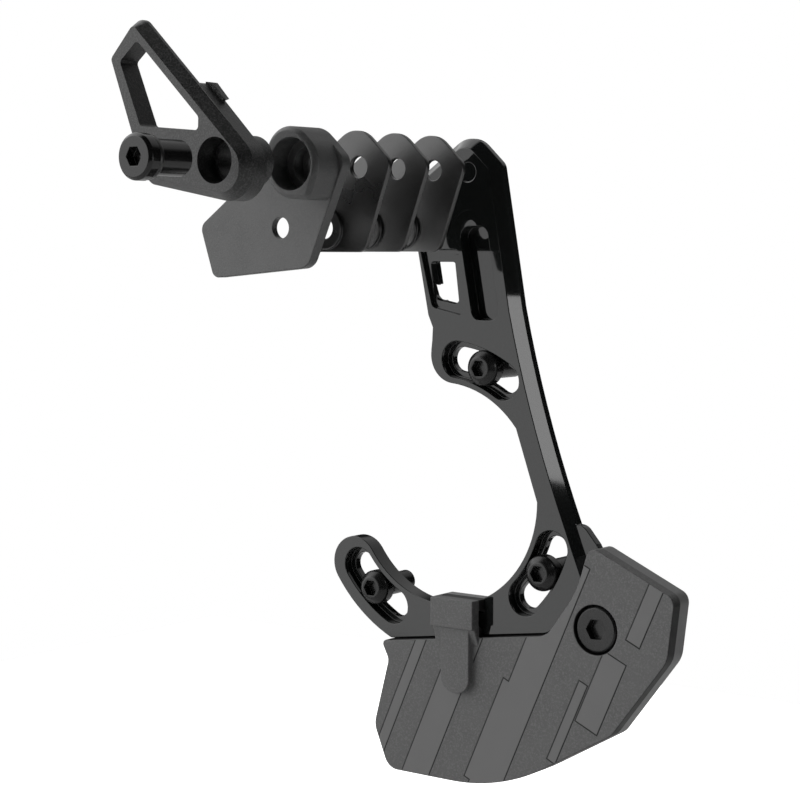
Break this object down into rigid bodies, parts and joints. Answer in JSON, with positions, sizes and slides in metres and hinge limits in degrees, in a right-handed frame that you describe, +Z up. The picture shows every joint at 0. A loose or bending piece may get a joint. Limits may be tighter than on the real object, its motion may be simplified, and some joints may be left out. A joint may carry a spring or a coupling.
{
  "type": "bicycle chain guide",
  "caption": "Chain guide for a bicycle crank: slotted backplate with a clip-on bash guard and an upper guide with shims, laid out apart along its bolt's axis.",
  "frame": {"origin": "crank axis, in the plane of the backplate's rear face, which rests on the frame's mounting tabs", "axes": "+X forward along the bicycle, +Y inboard towards the frame, +Z up the arm"},
  "size_m": [0.1099, 0.1379, 0.196],
  "materials": {
    "gloss_black_plate": "gloss black anodised",
    "gloss_black_shim": "gloss black anodised",
    "grey_nylon": "fine grained grey nylon",
    "dark_composite": "fine grained fibre filled nylon",
    "black_steel": "black oxide",
    "black_aluminium": "satin black anodised",
    "black_rubber": "smooth"
  },
  "bodies": {
    "backplate": {"backplate": "gloss_black_plate", "bash_guard": "grey_nylon", "bash_bolt": "black_steel", "mount_bolts": "black_steel"},
    "shim_inner": {"shim_inner": "gloss_black_shim"},
    "shim_middle": {"shim_middle": "gloss_black_shim"},
    "shim_outer": {"shim_outer": "gloss_black_shim"},
    "inner_guide": {"inner_guide": "dark_composite"},
    "outer_guide": {"outer_guide": "dark_composite"},
    "guide_bolt": {"guide_bolt": "black_aluminium", "bolt_o_ring": "black_rubber"}
  },
  "joints": [
    {"name": "shim_inner_slide", "type": "slide", "parent": "backplate", "child": "shim_inner", "axis": [0, 1, 0], "range_m": [0, 0.01374]},
    {"name": "shim_middle_slide", "type": "slide", "parent": "backplate", "child": "shim_middle", "axis": [0, 1, 0], "range_m": [0, 0.02748]},
    {"name": "shim_outer_slide", "type": "slide", "parent": "backplate", "child": "shim_outer", "axis": [0, 1, 0], "range_m": [0, 0.04122]},
    {"name": "inner_guide_slide", "type": "slide", "parent": "backplate", "child": "inner_guide", "axis": [0, 1, 0], "range_m": [0, 0.05577]},
    {"name": "outer_guide_slide", "type": "slide", "parent": "backplate", "child": "outer_guide", "axis": [0, 1, 0], "range_m": [0, 0.07432]},
    {"name": "guide_bolt_slide", "type": "slide", "parent": "backplate", "child": "guide_bolt", "axis": [0, 1, 0], "range_m": [0, 0.10107]}
  ],
  "couplings": [
    {"joint": "shim_inner_slide", "follows": "outer_guide_slide", "ratio": 0.18488},
    {"joint": "shim_middle_slide", "follows": "outer_guide_slide", "ratio": 0.36975},
    {"joint": "shim_outer_slide", "follows": "outer_guide_slide", "ratio": 0.55463},
    {"joint": "inner_guide_slide", "follows": "outer_guide_slide", "ratio": 0.7504},
    {"joint": "guide_bolt_slide", "follows": "outer_guide_slide", "ratio": 1.3599}
  ]
}
